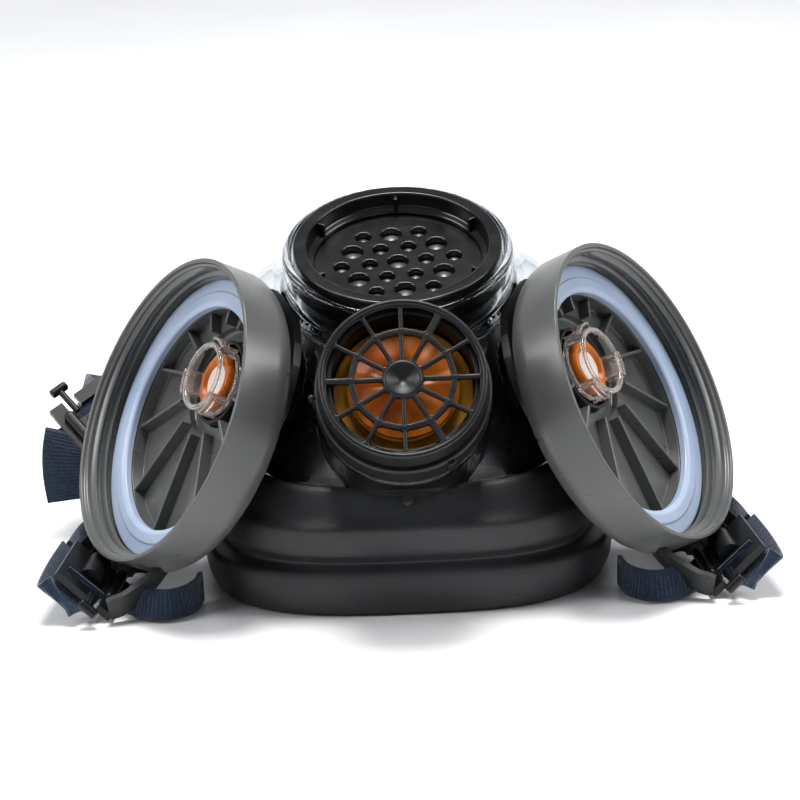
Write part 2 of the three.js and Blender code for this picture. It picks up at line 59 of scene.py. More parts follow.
MM = 0.001
SEAL_FRONT = 42.6  # from the mask's own origin forward to the point of the seal mount
SEAL_TOP = 37.0
SHELL_WALL = 2.5
CUP_R = 46.0
CUP_INSIDE_R = 43.8
CUP_DEPTH = 19.0
RIM_MOUNT_R = 44.9
LEDGE = -11.6
LEDGE_R = 34.2
FLOOR = -15.6
PORT_UP = 13.0
RECESS_R = 17.0
RIBS = 13
SPOKES = 12
LOWER_ALONG = (4.5, -39.0, -1.7)
UPPER_ALONG = (0.63, 0.5, 0.6)
FOLDED_BACK = 60  # degrees that the right head strap buckle is swung down
STRAP_T = 1.4
LOOP_W = 12.8
RIB_PITCH = 1.15  # of the webbing's weave
RIB_SWELL = 0.16  # how far a rib stands up, as a share of the webbing's thickness
SELVEDGE_W = 0.9
SELVEDGE_SWELL = 1.05

# ---------------------------------------------------------------- frames

RECORD = frame["record"]
JOINTS = {j["name"]: j for j in RECORD["behaviour"]["joints"]}
MOUNTS = {m["name"]: m for m in RECORD["mounts"]}
UP = Vector((0, 0, 1))


def frame_at(origin, axis, up):
    """Local millimetres to row metres, with Z along axis and Y as near as can be to up."""
    z = Vector(axis).normalized()
    y = Vector(up)
    y = (y - y.dot(z) * z).normalized()
    x = y.cross(z)
    turned = Matrix((x, y, z)).transposed().to_4x4()
    return Matrix.Translation(Vector(origin)) @ turned @ Matrix.Scale(MM, 4)


def joint_frame(name, up):
    joint = JOINTS[name]
    return frame_at(joint["pos_m"], joint["axis"], up)


def cup_frame():
    rim = MOUNTS["right_receiver_rim"]
    z = Vector(rim["axis"]).normalized()
    y = (UP - UP.dot(z) * z).normalized()
    middle = Vector(rim["pos_m"]) - y.cross(z) * RIM_MOUNT_R * MM
    return frame_at(middle, z, UP)


def buckle_frame(level, along, turn):
    """The right buckle's frame: X along its pin, Y towards its pull tab before it is swung."""
    joint = JOINTS[f"right_{level}_buckle_tilt"]
    across = turn * Vector(joint["axis"])
    return frame_at(joint["pos_m"], across.cross(Vector(along)), along)


RIM_POINT = Vector(MOUNTS["face_seal_rim"]["pos_m"]) / MM
MASK = Matrix.Scale(MM, 4) @ Matrix.Translation((RIM_POINT.x, RIM_POINT.y + SEAL_FRONT, 0))
DIAPHRAGM = joint_frame("lock_ring_turn", (0, 1, 0))
VALVE = joint_frame("exhalation_cover_twist", UP)
CUP = cup_frame()
LOWER = buckle_frame("lower", LOWER_ALONG, -1)
UPPER = buckle_frame("upper", UPPER_ALONG, 1)
SWUNG = Matrix.Rotation(math.radians(-FOLDED_BACK), 4, "X")
MIRROR = Matrix.Translation((2 * RIM_POINT.x * MM, 0, 0)) @ Matrix.Diagonal((-1, 1, 1, 1))
SIDES = (("right", Matrix.Identity(4)), ("left", MIRROR))

# ---------------------------------------------------------------- materials


class Look:
    """A Principled material with procedural tone, roughness and bump."""

    def __init__(self, name, **sockets):
        self.material = bpy.data.materials.new(name)
        self.material.use_nodes = True
        self.tree = self.material.node_tree
        self.shader = next(n for n in self.tree.nodes if n.type == "BSDF_PRINCIPLED")
        self.where = self.node("ShaderNodeTexCoord").outputs["Object"]
        for socket, value in sockets.items():
            self.shader.inputs[socket.replace("_", " ")].default_value = value

    def node(self, kind, **settings):
        made = self.tree.nodes.new(kind)
        for key, value in settings.items():
            setattr(made, key, value)
        return made

    def link(self, start, end):
        self.tree.links.new(start, end)

    def noise(self, scale, detail=3.0, rough=0.5, stretch=None):
        made = self.node("ShaderNodeTexNoise")
        made.inputs["Scale"].default_value = scale
        made.inputs["Detail"].default_value = detail
        made.inputs["Roughness"].default_value = rough
        where = self.where
        if stretch:
            mapping = self.node("ShaderNodeMapping")
            mapping.inputs["Scale"].default_value = stretch
            self.link(where, mapping.inputs["Vector"])
            where = mapping.outputs["Vector"]
        self.link(where, made.inputs["Vector"])
        return made.outputs["Fac"]

    def span(self, value, low, high):
        """Spreads the middle of a noise over low to high."""
        made = self.node("ShaderNodeMapRange")
        made.inputs["From Min"].default_value = 0.3
        made.inputs["From Max"].default_value = 0.7
        made.inputs["To Min"].default_value = low
        made.inputs["To Max"].default_value = high
        self.link(value, made.inputs["Value"])
        return made.outputs["Result"]

    def tones(self, dark, light, scale):
        """Mottles the base colour between two tones."""
        ramp = self.node("ShaderNodeValToRGB")
        ramp.color_ramp.elements[0].position = 0.35
        ramp.color_ramp.elements[1].position = 0.65
        ramp.color_ramp.elements[0].color = (*dark, 1)
        ramp.color_ramp.elements[1].color = (*light, 1)
        self.link(self.noise(scale, 4.0), ramp.inputs["Fac"])
        self.link(ramp.outputs["Color"], self.shader.inputs["Base Color"])
        return self

    def gloss(self, low, high, scale=60.0, stretch=None):
        value = self.span(self.noise(scale, 5.0, 0.6, stretch), low, high)
        self.link(value, self.shader.inputs["Roughness"])
        return self

    def relief(self, *layers):
        """Bumps of (scale, distance in metres), each on the one before."""
        normal = None
        for scale, distance in layers:
            bump = self.node("ShaderNodeBump")
            bump.inputs["Distance"].default_value = distance
            self.link(self.noise(scale, 2.0), bump.inputs["Height"])
            if normal:
                self.link(normal, bump.inputs["Normal"])
            normal = bump.outputs["Normal"]
        self.link(normal, self.shader.inputs["Normal"])
        return self


def make_looks():
    looks = {}

    def add(name, **sockets):
        looks[name] = Look(name, **sockets)
        return looks[name]

    add("black_rubber", Specular_IOR_Level=0.45).tones(
        (0.011, 0.0118, 0.0128), (0.018, 0.019, 0.0205), 40
    ).gloss(0.42, 0.55, 90).relief((1400, 0.00012), (60, 0.0004))
    add("inner_rubber", Specular_IOR_Level=0.5).tones(
        (0.004, 0.0045, 0.006), (0.008, 0.009, 0.012), 30
    ).gloss(0.22, 0.36, 70).relief((900, 0.00006))
    add("clear_shell", Transmission_Weight=1.0, IOR=1.36, Specular_IOR_Level=0.6).tones(
        (0.76, 0.785, 0.8), (0.81, 0.83, 0.845), 20
    ).gloss(0.01, 0.05, 45).relief((35, 0.00006))
    add("clear_cage", Transmission_Weight=0.9, IOR=1.49, Specular_IOR_Level=0.6).tones(
        (0.95, 0.86, 0.8), (0.98, 0.95, 0.92), 120
    ).gloss(0.04, 0.1, 90).relief((160, 0.00004))
    add("black_plastic", Specular_IOR_Level=0.32).tones(
        (0.0028, 0.003, 0.0034), (0.0052, 0.0055, 0.006), 50
    ).gloss(0.3, 0.42, 120).relief((2200, 0.00005), (160, 0.00006))
    add("gloss_black", Specular_IOR_Level=0.42).tones(
        (0.0035, 0.0037, 0.004), (0.006, 0.0063, 0.0067), 40
    ).gloss(0.18, 0.28, 90).relief((300, 0.00003))
    add("grey_plastic", Specular_IOR_Level=0.55).tones(
        (0.064, 0.066, 0.064), (0.08, 0.082, 0.079), 22
    ).gloss(0.26, 0.36, 50, (1, 1, 3)).relief((30, 0.00007), (700, 0.00001))
    add(
        "pale_silicone",
        Specular_IOR_Level=0.45,
        Subsurface_Weight=0.25,
        Subsurface_Scale=0.002,
    ).tones((0.28, 0.35, 0.47), (0.36, 0.43, 0.56), 30).gloss(0.3, 0.42, 60).relief(
        (500, 0.00004)
    )
    add(
        "orange_silicone",
        Specular_IOR_Level=0.35,
        Subsurface_Weight=0.1,
        Subsurface_Scale=0.001,
    ).tones((0.34, 0.06, 0.001), (0.52, 0.13, 0.002), 60).gloss(0.26, 0.4, 90).relief(
        (400, 0.00003)
    )
    add(
        "amber_plastic",
        Specular_IOR_Level=0.6,
        Transmission_Weight=0.2,
    ).tones((0.42, 0.16, 0.004), (0.58, 0.25, 0.008), 60).gloss(0.16, 0.28, 80).relief(
        (300, 0.00003)
    )
    add("silver_film", Metallic=0.5).tones(
        (0.06, 0.063, 0.066), (0.14, 0.145, 0.15), 90
    ).gloss(0.34, 0.48, 120).relief((300, 0.0001))
    add(
        "navy_webbing",
        Specular_IOR_Level=0.25,
        Sheen_Weight=0.4,
        Sheen_Roughness=0.5,
    ).tones((0.003, 0.01, 0.027), (0.007, 0.023, 0.058), 900).gloss(0.6, 0.85, 500).relief(
        (2600, 0.0003), (900, 0.0003)
    )
    add("cream_plastic", Specular_IOR_Level=0.5).tones(
        (0.6, 0.52, 0.46), (0.72, 0.65, 0.58), 60
    ).gloss(0.3, 0.42, 90).relief((300, 0.00003))
    add("steel", Metallic=1.0).tones((0.42, 0.43, 0.44), (0.56, 0.57, 0.58), 60).gloss(
        0.25, 0.4, 300, (1, 1, 12)
    ).relief((900, 0.00002))
    add("bright_backdrop", Emission_Color=(0.97, 0.98, 1, 1), Emission_Strength=0.85).tones(
        (0.8, 0.8, 0.81), (0.84, 0.84, 0.85), 1
    ).gloss(0.6, 0.8, 3)
    add("pale_floor", Specular_IOR_Level=0.35).tones(
        (0.86, 0.86, 0.87), (0.88, 0.88, 0.885), 3
    ).gloss(0.35, 0.5, 6).relief((120, 0.0001))
    return {name: look.material for name, look in looks.items()}


LOOKS = make_looks()

# ---------------------------------------------------------------- mesh tools


def mesh_object(vertices, faces, name="part"):
    mesh = bpy.data.meshes.new(name)
    mesh.from_pydata([tuple(v) for v in vertices], [], faces)
    made = bpy.data.objects.new(name, mesh)
    bpy.context.scene.collection.objects.link(made)
    return clean(made)


def clean(obj, distance=1e-4):
    work = bmesh.new()
    work.from_mesh(obj.data)
    bmesh.ops.remove_doubles(work, verts=work.verts, dist=distance)
    bmesh.ops.dissolve_degenerate(work, edges=work.edges, dist=distance)
    bmesh.ops.recalc_face_normals(work, faces=work.faces)
    work.to_mesh(obj.data)
    work.free()
    return obj


def settle(obj):
    """Applies the modifiers."""
    graph = bpy.context.evaluated_depsgraph_get()
    graph.update()
    made = bpy.data.meshes.new_from_object(obj.evaluated_get(graph))
    old = obj.data
    obj.modifiers.clear()
    obj.data = made
    bpy.data.meshes.remove(old)
    return obj


def drop(*objs):
    for obj in objs:
        bpy.data.objects.remove(obj)


def copy_of(obj):
    made = bpy.data.objects.new("copy", obj.data.copy())
    bpy.context.scene.collection.objects.link(made)
    return made


def combined(objs):
    """One object with all the meshes, as separate closed shells."""
    work = bmesh.new()
    for obj in objs:
        work.from_mesh(obj.data)
    work.to_mesh(objs[0].data)
    work.free()
    drop(*objs[1:])
    return objs[0]


def boolean(obj, tools, operation="DIFFERENCE"):
    for tool in tools:
        step = obj.modifiers.new("cut", "BOOLEAN")
        step.operation = operation
        step.solver = "EXACT"
        step.object = tool
    settle(obj)
    drop(*tools)
    return obj


def bevelled(obj, width, segments=2, angle=30):
    step = obj.modifiers.new("round", "BEVEL")
    step.width = width
    step.segments = segments
    step.limit_method = "ANGLE"
    step.angle_limit = math.radians(angle)
    step.use_clamp_overlap = True
    step.harden_normals = False
    return settle(obj)


def melted(obj, voxel, passes):
    """Remeshes a cut shape evenly and softens its edges, as a moulding is."""
    step = obj.modifiers.new("even mesh", "REMESH")
    step.mode = "VOXEL"
    step.voxel_size = voxel
    soften = obj.modifiers.new("soften", "SMOOTH")
    soften.factor = 0.5
    soften.iterations = passes
    return settle(obj)


def rounded(points, radius=0.4, steps=3):
    """A closed polygon with its corners rounded. A third number in a point is its own radius."""
    made = []
    count = len(points)
    for i, point in enumerate(points):
        here = Vector(point[:2])
        reach = point[2] if len(point) > 2 else radius
        before = Vector(points[i - 1][:2]) - here
        after = Vector(points[(i + 1) % count][:2]) - here
        size = min(reach, before.length * 0.48, after.length * 0.48)
        if reach <= 0 or size < 1e-3:
            made.append(tuple(here))
            continue
        start = here + before.normalized() * size
        end = here + after.normalized() * size
        for j in range(steps + 1):
            t = j / steps
            p = start * (1 - t) ** 2 + here * 2 * t * (1 - t) + end * t**2
            made.append(tuple(p))
    return made


def lathe(points, radius=0.4, segments=144, steps=3):
    """Turns a closed outline of (radius, height) about Z."""
    on_axis = 1e-6
    corners = [(p[0], p[1], *((0,) if p[0] < on_axis else p[2:])) for p in points]
    profile = rounded(corners, radius, steps)
    count = len(profile)
    vertices = []
    for i in range(segments):
        angle = 2 * math.pi * i / segments
        c, s = math.cos(angle), math.sin(angle)
        vertices += [(max(r, 0) * c, max(r, 0) * s, z) for r, z in profile]
    faces = []
    for i in range(segments):
        a, b = i * count, ((i + 1) % segments) * count
        for j in range(count):
            k = (j + 1) % count
            faces.append((a + j, b + j, b + k, a + k))
    return mesh_object(vertices, faces)


def rod(radius, low, high, segments=96, x=0.0, y=0.0):
    made = lathe([(0, low), (radius, low), (radius, high), (0, high)], 0, segments)
    made.data.transform(Matrix.Translation((x, y, 0)))
    return made


def block(x, y, z, turn=0.0):
    corners = [(a, b, c) for c in z for b in y for a in x]
    faces = [(0, 2, 3, 1), (4, 5, 7, 6), (0, 1, 5, 4), (2, 6, 7, 3), (0, 4, 6, 2), (1, 3, 7, 5)]
    made = mesh_object(corners, faces)
    made.data.transform(Matrix.Rotation(turn, 4, "Z"))
    return made


def circle(radius, count, x=0.0, y=0.0):
    return [
        (x + radius * math.cos(a), y + radius * math.sin(a))
        for a in np.linspace(0, 2 * math.pi, count, endpoint=False)
    ]


def plate(outlines, low, high, edge=0.3, steps=2):
    """A flat plate from an outline and its holes, with rounded edges."""
    curve = bpy.data.curves.new("plate", "CURVE")
    curve.dimensions = "2D"
    curve.fill_mode = "BOTH"
    curve.extrude = (high - low) / 2 - edge
    curve.bevel_depth = edge
    curve.bevel_resolution = steps
    curve.offset = -edge
    for edge_line in outlines:
        spline = curve.splines.new("POLY")
        spline.points.add(len(edge_line) - 1)
        for point, (x, y) in zip(spline.points, edge_line):
            point.co = (x, y, 0, 1)
        spline.use_cyclic_u = True
    holder = bpy.data.objects.new("plate", curve)
    bpy.context.scene.collection.objects.link(holder)
    graph = bpy.context.evaluated_depsgraph_get()
    graph.update()
    mesh = bpy.data.meshes.new_from_object(holder.evaluated_get(graph))
    drop(holder)
    made = bpy.data.objects.new("plate", mesh)
    bpy.context.scene.collection.objects.link(made)
    made.data.transform(Matrix.Translation((0, 0, (low + high) / 2)))
    return clean(made, 1e-3)


def lofted(loops, closes=False):
    """Skins loops with the same number of points, capped unless the last joins the first."""
    count = len(loops[0])
    vertices = [p for loop in loops for p in loop]
    faces = []
    for j in range(len(loops) if closes else len(loops) - 1):
        a, b = j * count, ((j + 1) % len(loops)) * count
        for i in range(count):
            k = (i + 1) % count
            faces.append((a + i, a + k, b + k, b + i))
    if not closes:
        last = (len(loops) - 1) * count
        faces.append(tuple(reversed(range(count))))
        faces.append(tuple(range(last, last + count)))
    return mesh_object(vertices, faces)


def catmull_rom(p0, p1, p2, p3, t):
    """The point a share t of the way from p1 to p2."""
    return 0.5 * (2 * p1 + (p2 - p0) * t + (2 * p0 - 5 * p1 + 4 * p2 - p3) * t**2
                  + (3 * p1 - p0 - 3 * p2 + p3) * t**3)


def smooth_path(points, spacing):
    """Catmull-Rom points through every row of numbers, about spacing apart along the first three."""
    rows = np.array(points, float)
    ends = np.vstack([2 * rows[0] - rows[1], rows, 2 * rows[-1] - rows[-2]])
    made = []
    for i in range(1, len(ends) - 2):
        p0, p1, p2, p3 = ends[i - 1 : i + 3]
        length = np.linalg.norm((p2 - p1)[:3])
        for t in np.linspace(0, 1, max(int(length / spacing), 2), endpoint=False):
            made.append(catmull_rom(p0, p1, p2, p3, t))
    made.append(rows[-1])
    return np.array(made)


def strip_frames(stations, spacing):
    """Centres, directions across and directions through a strip, from (centre, across) stations."""
    rows = smooth_path([[*c, *a] for c, a in stations], spacing)
    centres, across = rows[:, :3], rows[:, 3:]
    along = np.gradient(centres, axis=0)
    along /= np.linalg.norm(along, axis=1)[:, None]
    across = across - np.sum(across * along, axis=1)[:, None] * along
    across /= np.linalg.norm(across, axis=1)[:, None]
    return centres, across, np.cross(along, across)


def webbing(stations, width):
    """Ribbed elastic webbing through stations of (centre, direction across)."""
    centres, across, through = strip_frames(stations, RIB_PITCH / 4)
    travelled = np.concatenate([[0], np.cumsum(np.linalg.norm(np.diff(centres, axis=0), axis=1))])
    section = rounded(
        [(-width / 2, -0.5), (width / 2, -0.5), (width / 2, 0.5), (-width / 2, 0.5)], 0.35, 3
    )
    edge_line = []
    for (u, v), (u2, _) in zip(section, section[1:] + section[:1]):
        edge_line.append((u, v))
        if abs(u2 - u) > 3:
            edge_line += [(u + (u2 - u) * t, v) for t in np.linspace(0, 1, 9)[1:-1]]
    ribbed = width / 2 - SELVEDGE_W
    loops = []
    for i, s in enumerate(travelled):
        swell = 1 + RIB_SWELL * math.cos(2 * math.pi * s / RIB_PITCH)
        loops.append(
            [
                centres[i] + across[i] * u
                + through[i] * v * STRAP_T * (swell if abs(u) < ribbed else SELVEDGE_SWELL)
                for u, v in edge_line
            ]
        )
    return lofted(loops)


def install(obj, name, matrix, look, body, replaced=(), sharp=34, even=True, bend=None):
    """A bend is (another body, start, end), of which only whether one is given is read: a piece
    with a bend keeps its placement baked into its mesh and is attached to no body.
    """
    obj.name = name
    obj.data.name = name
    obj.data.transform(matrix)
    clean(obj, 1e-7)
    obj.data.materials.clear()
    obj.data.materials.append(LOOKS[look])
    obj.data.shade_smooth()
    obj.data.set_sharp_from_angle(angle=math.radians(sharp))
    if even:
        steady = obj.modifiers.new("even shading", "WEIGHTED_NORMAL")
        steady.keep_sharp = True
    if bend:
        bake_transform(obj)
    else:
        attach(obj, body)
    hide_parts(*replaced)
    return obj


def install_pair(obj, name, matrix, look, body, replaced=(), sharp=34):
    """The right piece and its mirror image on the left."""
    for side, turn in SIDES:
        made = copy_of(obj)
        on = body if body == "root" else f"{side}_{body}"
        nodes = [f"{side}_{node}" for node in replaced]
        install(made, f"{side}_{name}", turn @ matrix, look, on, nodes, sharp)
    drop(obj)


# ---------------------------------------------------------------- face seal and shell


def outline(y, z, half, depth, tilt=0.0, power=2.0, draw=0.0, shrink=0.0, count=144):
    """A rounded outline in a plane that leans back by a tilt. Its sides draw in to the front."""
    loop = []
    for i in range(count):
        angle = 2 * math.pi * i / count
        c, s = math.cos(angle), math.sin(angle)
        fore = math.copysign(abs(s) ** (2 / power), s)
        side = math.copysign(abs(c) ** (2 / power), c) * (1 - draw * (1 - fore) / 2)
        reach = fore * (depth - shrink)
        loop.append(
            (side * (half - shrink), y + reach * math.cos(tilt), z + reach * math.sin(tilt))
        )
    return loop


SEAL_SECTION = [  # height, half width and front of each turn of the rubber, outside then inside
    (0, 55.6, -46.4), (1.0, 57.8, -48.4), (5, 60.2, -49.9), (9, 61, -50.4), (12.2, 60.6, -50.2),
    (13.4, 59.8, -49.8), (14.0, 58.6, -49.2), (15.0, 56.6, -48.4), (16.0, 55.7, -48),
    (17.2, 55.3, -49.4), (18.6, 55.2, -51), (20, 55.3, -52.2), (26, 54.6, -53),
    (27.6, 53.6, -52.6), (30, 51.4, -50.6), (37, 47.6, -46.2),
    (37, 43.5, -42), (31, 46.5, -45), (26, 49, -47.3), (21, 50.6, -46.6), (17, 51.5, -44.6),
    (12, 54.5, -45.2), (6, 56, -46), (2.4, 53, -43.6), (0.6, 49.5, -40), (0, 48.5, -39),
]
SEAL_BACK = 61.0  # where the half width is SEAL_BACK_HALF
SEAL_BACK_HALF = 58.0


def seal_loop(z, half, front):
    back = SEAL_BACK - (SEAL_BACK_HALF - half)
    return outline((front + back) / 2, z, half, (back - front) / 2, power=3.1)


def face_seal():
    loops = [seal_loop(*row) for row in smooth_path(SEAL_SECTION, 1.0)]
    body = lofted(loops, closes=True)
    nub = rod(1.6, 0, 1.5, 24)
    lean = Matrix.Rotation(math.radians(62), 4, "X")
    nub.data.transform(Matrix.Translation((0, -47.6, 34)) @ lean)
    return combined([body, bevelled(nub, 0.4)])


# y, z, half width, depth, tilt, power and draw of each outline, from the seal up to the collar
SHELL_RINGS = [
    (6, 37.35, 47.5, 52, 0, 2.9, 0),
    (6, 50, 50, 51, 0.07, 2.8, 0.1),
    (7, 64, 54, 48, 0.17, 2.7, 0.25),
    (7, 77, 55, 44, 0.28, 2.7, 0.4),
    (5, 83, 44, 39, 0.35, 2.3, 0.3),
    (3.4, 84, 33.9, 33.9, 0.391, 2, 0),
]
INNER_RINGS = [
    (6, 34.5, 42.6, 45.5, 0, 2.9, 0),
    (6, 50, 42.5, 46.5, 0.07, 2.8, 0.1),
    (7, 64, 40.5, 43.2, 0.17, 2.6, 0.25),
    (7, 73.5, 36, 38.6, 0.28, 2.4, 0.3),
    (5, 78.5, 30, 31, 0.35, 2.1, 0.1),
    (3.6, 79.6, 25.6, 25.6, 0.391, 2, 0),
]


def ring_stack(rings, shrink, drop_top=0.0):
    """Outlines along a spline through the rings, drawn in by shrink and lowered near the top."""
    steps = 9
    top_from, top_over = 70, 12
    rows = []
    padded = [rings[0], *rings, rings[-1]]
    for i in range(1, len(padded) - 2):
        p0, p1, p2, p3 = (np.array(padded[i + j], float) for j in (-1, 0, 1, 2))
        for t in np.linspace(0, 1, steps, endpoint=False):
            rows.append(catmull_rom(p0, p1, p2, p3, t))
    rows.append(np.array(rings[-1], float))
    loops = []
    for row in rows:
        y, z, half, depth, tilt, power, draw = row
        lowered = z - drop_top * min(max((z - top_from) / top_over, 0), 1)
        loops.append(outline(y, lowered, half, depth, tilt, power, draw, shrink, 128))
    return loops


def in_mask(obj, matrix):
    """Moves a local tool into mask millimetres."""
    obj.data.transform(MASK.inverted() @ matrix)
    return obj


def both_cups(make):
    """One of the tools that make() makes for each receiver."""
    return [clean(in_mask(make(), turn @ CUP)) for _, turn in SIDES]


def front_shell():
    outer = lofted(ring_stack(SHELL_RINGS, 0))
    inner = lofted(ring_stack(SHELL_RINGS, SHELL_WALL, SHELL_WALL))
    floor = outline(*SHELL_RINGS[0], shrink=SHELL_WALL, count=128)
    low = [(x, y, z - 5) for x, y, z in floor]
    plug = lofted([low, [(x, y, z + 1) for x, y, z in floor]])
    for extra, target in ((0, outer), (SHELL_WALL, inner)):
        tools = both_cups(lambda e=extra: rod(CUP_R + 1.4 + e, -CUP_DEPTH - 1.6 - e, 6, 128))
        tools += both_cups(lambda e=extra: rod(39 + e, -24 - e, 0, 96, 0, PORT_UP))
        boolean(target, tools)
    collar = in_mask(
        lathe(
            [(0, -17.6), (32, -17.6), (34.6, -15.6, 1), (35.2, -14.6, 0.8), (35.2, -12.8, 0.8),
             (34.2, -11.6, 0.8), (33.9, -10, 0.8), (33.9, -1.6, 0.9), (0, -1.6)],
            0.4, 144),
        DIAPHRAGM)
    bosses = [collar, in_mask(rod(24.4, -50, -18.4, 128), VALVE)]
    bosses += both_cups(lambda: rod(20.6, -46, -24, 96, 0, PORT_UP))
    boolean(outer, bosses, "UNION")
    bores = [
        in_mask(rod(31.2, -15.4, 5, 128), DIAPHRAGM),
        in_mask(rod(23.5, -30, 5, 128), DIAPHRAGM),
        in_mask(rod(21.4, -60, 0, 128), VALVE),
    ]
    bores += both_cups(lambda: rod(17.85, -60, -22, 96, 0, PORT_UP))
    below = block((-90, 90), (-90, 90), (0, SEAL_TOP + 0.35))
    boolean(outer, [inner, plug, *bores, below])
    return melted(outer, 0.55, 16)


def inner_cup():
    outer = lofted(ring_stack(INNER_RINGS, 0))
    inner = lofted(ring_stack(INNER_RINGS, 1.6, 1.6))
    floor = outline(*INNER_RINGS[0], shrink=1.6, count=128)
    plug = lofted([[(x, y, z - 3) for x, y, z in floor], [(x, y, z + 1) for x, y, z in floor]])
    bores = [
        in_mask(rod(24.2, -40, 5, 96), DIAPHRAGM),
        in_mask(rod(21.6, -60, 0, 96), VALVE),
    ]
    bores += both_cups(lambda: rod(17.9, -60, -22, 96, 0, PORT_UP))
    bores += both_cups(lambda: rod(22, -31, -10, 96, 0, PORT_UP))
    boolean(outer, [inner, plug, *bores])
    return melted(outer, 0.9, 8)


install(face_seal(), "face_seal_rubber", MASK, "black_rubber", "root",
        ["face_seal"], 60)
install(front_shell(), "front_shell_clear", MASK, "clear_shell", "root",
        ["front_shell"], 180, even=False)
install(inner_cup(), "inner_cup_rubber", MASK, "inner_rubber", "root",
        [], 180, even=False)

# ---------------------------------------------------------------- speech diaphragm

GRILLE_PITCH = 8.35
GRILLE_TOP = -6.5
GRILLE_TURN = 0.12
GRILLE_T = 2.2
BIG_HOLE_R = 3.1
SMALL_HOLE_R = 2.3
FILM_R = 26.0
FILM_T = 0.35
FILM_DOME = 1.4
LUGS = 6


def grille_holes():
    """(x, y, radius) of every hole: a big one in the middle, then small, big and small rings."""
    holes = [(0.0, 0.0, BIG_HOLE_R)]
    for reach, offset, radius in (
        (1, 0, SMALL_HOLE_R), (math.sqrt(3), math.pi / 6, BIG_HOLE_R), (2, 0, SMALL_HOLE_R),
    ):
        for i in range(6):
            angle = GRILLE_TURN + offset + i * math.pi / 3
            x = reach * GRILLE_PITCH * math.cos(angle)
            y = reach * GRILLE_PITCH * math.sin(angle)
            holes.append((x, y, radius))
    return holes


def lock_ring():
    body = lathe(
        [(26.8, 0, 0.5), (30.6, 0, 0.6), (30.6, -9, 0.3), (27, -9, 0.2), (27, -6.1, 0.2),
         (24.5, -6.1, 0.3), (24.7, -5.3, 0.5), (25.2, -4.9, 0.4), (26.2, -4.3, 0.5),
         (26.5, -2.4, 0.3)],
        0.3, 192)
    lugs = []
    for i in range(LUGS):
        turned = math.radians(30 + 360 / LUGS * i)
        lug = block((24.5, 27.3), (-0.6, 0.6), (-5.6, -0.7), turned)
        lugs.append(bevelled(lug, 0.35, 3))
    return combined([body, *lugs])


def grille():
    holes = [circle(r, 40, x, y) for x, y, r in grille_holes()]
    return plate([circle(26.4, 128), *holes], GRILLE_TOP - GRILLE_T, GRILLE_TOP, 0.45, 3)


def film():
    """A thin sheet, pressed up into a dome under every hole."""
    rings, segments = 60, 180
    vertices, faces = [], []
    for level in (0, 1):
        for j in range(rings + 1):
            r = FILM_R * j / rings
            for i in range(segments):
                a = 2 * math.pi * i / segments
                x, y = r * math.cos(a), r * math.sin(a)
                rise = 0.0
                for hx, hy, hr in grille_holes():
                    d = math.hypot(x - hx, y - hy) / hr
                    rise = max(rise, FILM_DOME * (1 - d * d) if d < 1 else 0.0)
                vertices.append((x, y, GRILLE_TOP - 3 + FILM_T * level + rise))
    count = (rings + 1) * segments
    for level in (0, 1):
        for j in range(rings):
            for i in range(segments):
                k = (i + 1) % segments
                a, b = level * count + j * segments, level * count + (j + 1) * segments
                faces.append((a + i, b + i, b + k, a + k))
    for i in range(segments):
        k = (i + 1) % segments
        a, b = rings * segments, count + rings * segments
        faces.append((a + i, b + i, b + k, a + k))
    return mesh_object(vertices, faces)


def diaphragm_seal():
    top = GRILLE_TOP - 3.4
    return lathe([(24, -15), (28, -15), (28, top), (24, top)], 0.5)


install(lock_ring(), "lock_ring_moulded", DIAPHRAGM, "gloss_black", "lock_ring",
        ["diaphragm_lock_ring"])
install(grille(), "grille_moulded", DIAPHRAGM, "gloss_black", "root",
        ["diaphragm_grille"])
install(film(), "diaphragm_film", DIAPHRAGM, "silver_film", "root",
        ["speech_diaphragm"])
install(diaphragm_seal(), "diaphragm_seal", DIAPHRAGM, "black_rubber", "root",
        ["diaphragm_gasket"])

# ---------------------------------------------------------------- exhalation valve


def web_holes():
    """The windows between hub, middle ring and rim, with rounded corners."""
    narrow = 1.25
    broader = {2: 2.3, 6: 1.7, 10: 1.9}  # widths of three of the outer spokes
    holes = []
    for inner, outer, corner, widths in ((5.7, 13.3, 0.9, {}), (14.9, 21.0, 0.7, broader)):
        for i in range(SPOKES):
            start, end = i * 2 * math.pi / SPOKES, (i + 1) * 2 * math.pi / SPOKES
            before = widths.get(i, narrow)
            after = widths.get((i + 1) % SPOKES, narrow)
            middle = (start + end) / 2
            points = [
                (inner, start + before / 2 / inner, corner),
                (outer, start + before / 2 / outer, corner),
            ]
            if widths:
                points.append((outer + 0.35, middle, 6))
            points += [
                (outer, end - after / 2 / outer, corner),
                (inner, end - after / 2 / inner, corner),
            ]
            if widths:
                points.append((inner - 0.1, middle, 4))
            corners = [(r * math.cos(a), r * math.sin(a), c) for r, a, c in points]
            holes.append(rounded(corners, 0.7, 5))
    return holes


